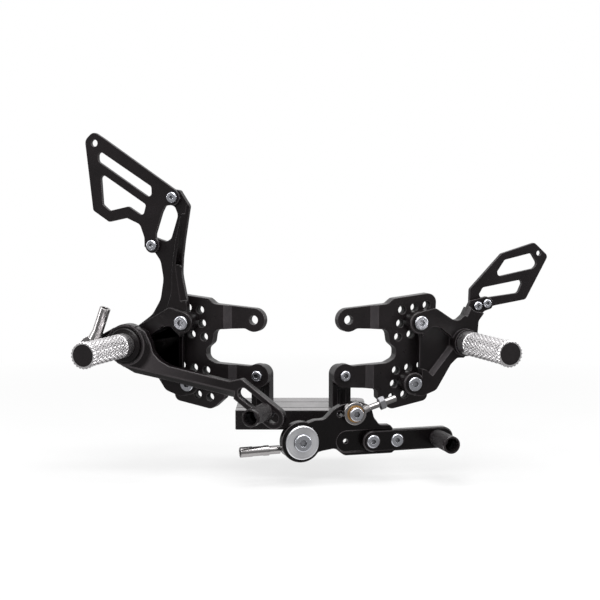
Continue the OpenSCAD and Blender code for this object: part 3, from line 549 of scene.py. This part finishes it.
def refinish(mesh, faces, index):
    """Gives the faces picked by a mask the finish at that place in the mesh's list."""
    slots = np.empty(len(mesh.polygons), np.int32)
    mesh.polygons.foreach_get("material_index", slots)
    slots[faces] = index
    mesh.polygons.foreach_set("material_index", slots)


def mark_threads(mesh, matrix):
    """Gives the walls of the position holes the thread finish with its painted shade: faces that
    stand across the plate (their normal's share along the plate's own is under 0.3) within the
    wall's reach of a hole's centre, both measured in the plate frame."""
    back = np.array(matrix.inverted())
    flat = (of_faces(mesh, "center") @ back[:3, :3].T + back[:3, 3]) / MM
    across = np.abs(of_faces(mesh, "normal") @ back[:3, :3].T)[:, 2] < 0.3
    away = np.linalg.norm(flat[:, None, :2] - hole_places()[None], axis=-1).min(axis=1)
    refinish(mesh, across & (away < WALL_REACH), THREAD)


def paint_lit_slopes(mesh, matrix, upwards):
    """Gives the milled slopes a lighter colour, a painted highlight: flats whose normal is neither
    the plate's nor across it, a share of 0.35 to 0.93 along the plate's own. With upwards, only
    those that also lean up by more than 0.2."""
    turned = of_faces(mesh, "normal") @ np.array(matrix)[:3, :3]
    sloped = (turned[:, 2] > 0.35) & (turned[:, 2] < 0.93)
    if upwards:
        sloped &= turned[:, 1] > 0.2
    refinish(mesh, sloped, LIT_SLOPE)


def edges_broken(cad, width, edge=None):
    """A copy of a CAD piece with its doubles merged and its flats joined, its edges chamfered by a
    Bevel modifier of that width in mm, and shading that keeps the flats flat. The chamfers take the
    edge colour, where there is one: lighter than the plate, partly for worn edges and partly as a
    painted highlight."""
    mesh = nodes[cad].data.copy()
    work = bmesh.new()
    work.from_mesh(mesh)
    bmesh.ops.remove_doubles(work, verts=work.verts, dist=ONE_POINT)
    bmesh.ops.dissolve_limit(work, angle_limit=JOINED, verts=work.verts, edges=work.edges)
    work.to_mesh(mesh)
    work.free()
    mesh.shade_smooth()
    piece = bpy.data.objects.new(cad + "_edged", mesh)
    scene.collection.objects.link(piece)
    bevel = piece.modifiers.new("edges", "BEVEL")
    bevel.limit_method = "ANGLE"
    bevel.angle_limit = BROKEN
    bevel.width = width * MM
    bevel.segments = 3 if width > ROUNDED else 2
    bevel.use_clamp_overlap = False
    if edge:
        mesh.materials.append(edge)
        bevel.material = EDGE
    flats = piece.modifiers.new("flats", "WEIGHTED_NORMAL")
    flats.keep_sharp = False
    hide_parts(cad)
    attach(piece, BODY[cad])
    return piece


def settled(piece, cad, width):
    """Fixes the modifiers' result as the piece's mesh. Points that a chamfer threw out at a sliver
    edge, further from the CAD surface than a chamfer of that width reaches, go back to the nearest
    point of that surface. The search tree answers for one point at a time."""
    shown = piece.evaluated_get(bpy.context.evaluated_depsgraph_get())
    mesh = bpy.data.meshes.new_from_object(shown)
    piece.modifiers.clear()
    piece.data = mesh
    source = nodes[cad].data
    surface = BVHTree.FromPolygons([v.co for v in source.vertices],
                                   [p.vertices[:] for p in source.polygons])
    points = np.empty(len(mesh.vertices) * 3)
    mesh.vertices.foreach_get("co", points)
    points = points.reshape(-1, 3)
    found = [surface.find_nearest(p) for p in points]
    nearest = np.array([place for place, _, _, _ in found])
    away = np.array([distance for _, _, _, distance in found])
    stray = away > CHAMFER_REACH * width * MM
    points[stray] = nearest[stray]
    mesh.vertices.foreach_set("co", points.ravel())
    mesh.update()


for cad, width in PLATE_EDGES.items():
    # The chamfers' lighter colour is partly wear and partly painted highlight; darker on the left
    # hanger.
    edge = edge_dark_wear_and_sheen if cad == "left_hanger" else edge_wear_and_sheen
    piece = edges_broken(cad, width, edge)
    if cad.endswith(("adapter", "hanger")):
        side = LEFT if cad.startswith("left") else RIGHT
        piece.data.materials.append(thread_painted_shade)
        piece.data.materials.append(slope_painted_light)
        if cad.endswith("adapter"):
            mark_threads(piece.data, side)
        # The slopes get the painted highlight.
        paint_lit_slopes(piece.data, side, cad.endswith("hanger"))
    if cad == "cross_block":
        # The upward faces get the painted light of the block's top.
        piece.data.materials.append(block_top_painted_light)
        refinish(piece.data, of_faces(piece.data, "normal")[:, 2] > 0.95, LIT_BLOCK_TOP)
    settled(piece, cad, width)
for cad in WEAR[rod_satin]:
    edges_broken(cad, ROD_EDGE)
for cad in WEAR[bolt_zinc]:
    edges_broken(cad, BOLT_EDGE)


# Knurled grips. A profile is (radius, height) in mm, from the foot's axis round to the tip's, and
# the steps are those around the axis.

PEG_STEPS, TOE_STEPS = 320, 288


def turned_piece(name, profile, around, knurl, matrix, at, level):
    """A closed turned piece. profile is (k, 2) of (radius, height), carried round the axis:
    P(i, a) = (R cos a, R sin a, h_i), where R = r_i - knurl(a, r_i, h_i). The first and last
    points are poles, so each is one vertex."""
    radius, height = profile[:, 0], profile[:, 1]
    angle = np.linspace(0, 2 * math.pi, around, endpoint=False)
    cut = knurl(angle[None, :], radius[1:-1, None], height[1:-1, None])
    skin = radius[1:-1, None] - cut
    rings = np.stack([skin * np.cos(angle), skin * np.sin(angle),
                      np.broadcast_to(height[1:-1, None], skin.shape)], axis=-1).reshape(-1, 3)
    points = np.vstack([[0, 0, height[0]], rings, [0, 0, height[-1]]])
    rows = len(radius) - 2
    quads = ring_quads(rows, around) + 1
    a = np.arange(around) + 1
    b = a % around + 1
    last = (rows - 1) * around
    foot = np.stack([np.zeros_like(a), b, a], -1)
    tip = np.stack([a + last, b + last, np.full_like(a, len(points) - 1)], -1)
    mesh = bpy.data.meshes.new(name)
    mesh.from_pydata(placed(points, matrix, at, level).tolist(), [],
                     quads.tolist() + foot.tolist() + tip.tolist())
    work = bmesh.new()
    work.from_mesh(mesh)
    bmesh.ops.recalc_face_normals(work, faces=work.faces)
    work.to_mesh(mesh)
    work.free()
    mesh.update()
    piece = bpy.data.objects.new(name, mesh)
    scene.collection.objects.link(piece)
    return piece


def diamond_knurl(count, pitch, depth, start, stop, skin):
    """Two crossed sets of helical V grooves: a = n t / 2 pi + h / p and b = n t / 2 pi - h / p, and
    a groove is deepest where a or b is a whole number. Its share is 0 on the flat tops, up to 0.42
    of the way, and rises to 1 over the other 0.58. Only radii from skin outwards are cut, between
    start and stop, and the grooves run out over 1.2 mm at both."""
    def cut(angle, radius, height):
        """How deep the skin is cut there, in mm."""
        turns = angle * count / (2 * math.pi)
        wave = [np.abs(((turns + s * height / pitch) % 1.0) - 0.5) * 2 for s in (1, -1)]
        share = np.clip((np.maximum(wave[0], wave[1]) - 0.42) / 0.58, 0, 1)
        inside = np.clip((height - start) / 1.2, 0, 1) * np.clip((stop - height) / 1.2, 0, 1)
        return np.where(radius >= skin, depth * share * inside, 0.0)
    return cut


def straight(radius, heights):
    """The stretch of a profile that keeps its radius over those heights."""
    return np.stack([np.full_like(heights, radius), heights], -1)


def foot_peg(name, length, matrix, at, level):
    """Foot peg: blind bolt bore behind, plain collar, diamond-knurled grip, knurled lip that flares
    out by 1 mm over 3 mm, and from the tip a recess for the cap with a narrower bore below it."""
    grip_radius, lip_radius, bolt_radius, cap_radius, bore_radius = 11.0, 12.0, 4.0, 9.6, 7.0
    bolt_depth, bore_floor, cap_depth = 30.0, 36.0, 3.0
    grip_start, grip_end, flare_end, lip_end = 12.0, length - 7.0, length - 4.0, length - 1.0
    grip = np.arange(grip_start, grip_end, 0.35)
    flare = np.linspace(grip_end, flare_end, 10)
    lip = np.linspace(flare_end, lip_end, 10)[1:]
    cap_seat = length - cap_depth
    profile = np.vstack([
        [[0, bolt_depth], [bolt_radius, bolt_depth], [bolt_radius, 0]],
        [[10.4, 0], [grip_radius, 0.6], [grip_radius, 6.0], [grip_radius, 11.6]],
        straight(grip_radius, grip),
        np.stack([grip_radius + (flare - flare[0]) / 3.0, flare], -1)[1:],
        straight(lip_radius, lip),
        [[11.9, length - 0.55], [11.2, length]],
        [[cap_radius, length], [cap_radius, cap_seat], [bore_radius, cap_seat]],
        [[bore_radius, bore_floor], [0, bore_floor]]])
    cut = diamond_knurl(count=22, pitch=7.4, depth=0.9, start=11.8, stop=length + 1.0, skin=10.95)
    piece = turned_piece(name, profile, PEG_STEPS, cut, matrix, at, level)
    piece.data.materials.append(peg_aluminium)
    return piece


def toe_peg(name, matrix, at, level):
    """Toe peg: flat behind, finely knurled outside between two plain bands with broken edges, and
    a counterbore from the tip down to 9 mm."""
    radius, edge_radius, bore_radius, length, bore_floor = 7.8, 7.3, 6.1, 34.0, 9.0
    profile = np.vstack([
        [[0, 0], [3.0, 0], [edge_radius, 0], [radius, 0.5], [radius, 2.0]],
        straight(radius, np.arange(2.2, 31.4, 0.22)),
        [[radius, 31.6], [radius, 33.4], [edge_radius, length]],
        [[bore_radius, length], [bore_radius, bore_floor], [0, bore_floor]]])
    cut = diamond_knurl(count=36, pitch=2.6, depth=0.42, start=2.0, stop=31.5, skin=7.75)
    piece = turned_piece(name, profile, TOE_STEPS, cut, matrix, at, level)
    piece.data.materials.append(grip_black)
    return piece


for peg, cad, length, matrix, at, level in (
        ("left_peg_grip", "left_peg", 74.0, LEFT, LEFT_PEG, LEFT_PEG_FOOT),
        ("right_peg_grip", "right_peg", 79.0, RIGHT, RIGHT_PEG, RIGHT_PEG_FOOT)):
    piece = foot_peg(peg, length, matrix, at, level)
    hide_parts(cad)
    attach(piece, "frame")

for peg, cad, matrix, at, level, body in (
        ("brake_toe_grip", "brake_toe_peg", LEFT, BRAKE_TOE, BRAKE_TOE_FOOT, "brake_pedal"),
        ("shift_toe_grip", "shift_toe_peg", LEVER, SHIFT_TOE, SHIFT_TOE_FOOT, "gear_lever")):
    piece = toe_peg(peg, matrix, at, level)
    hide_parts(cad)
    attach(piece, body)
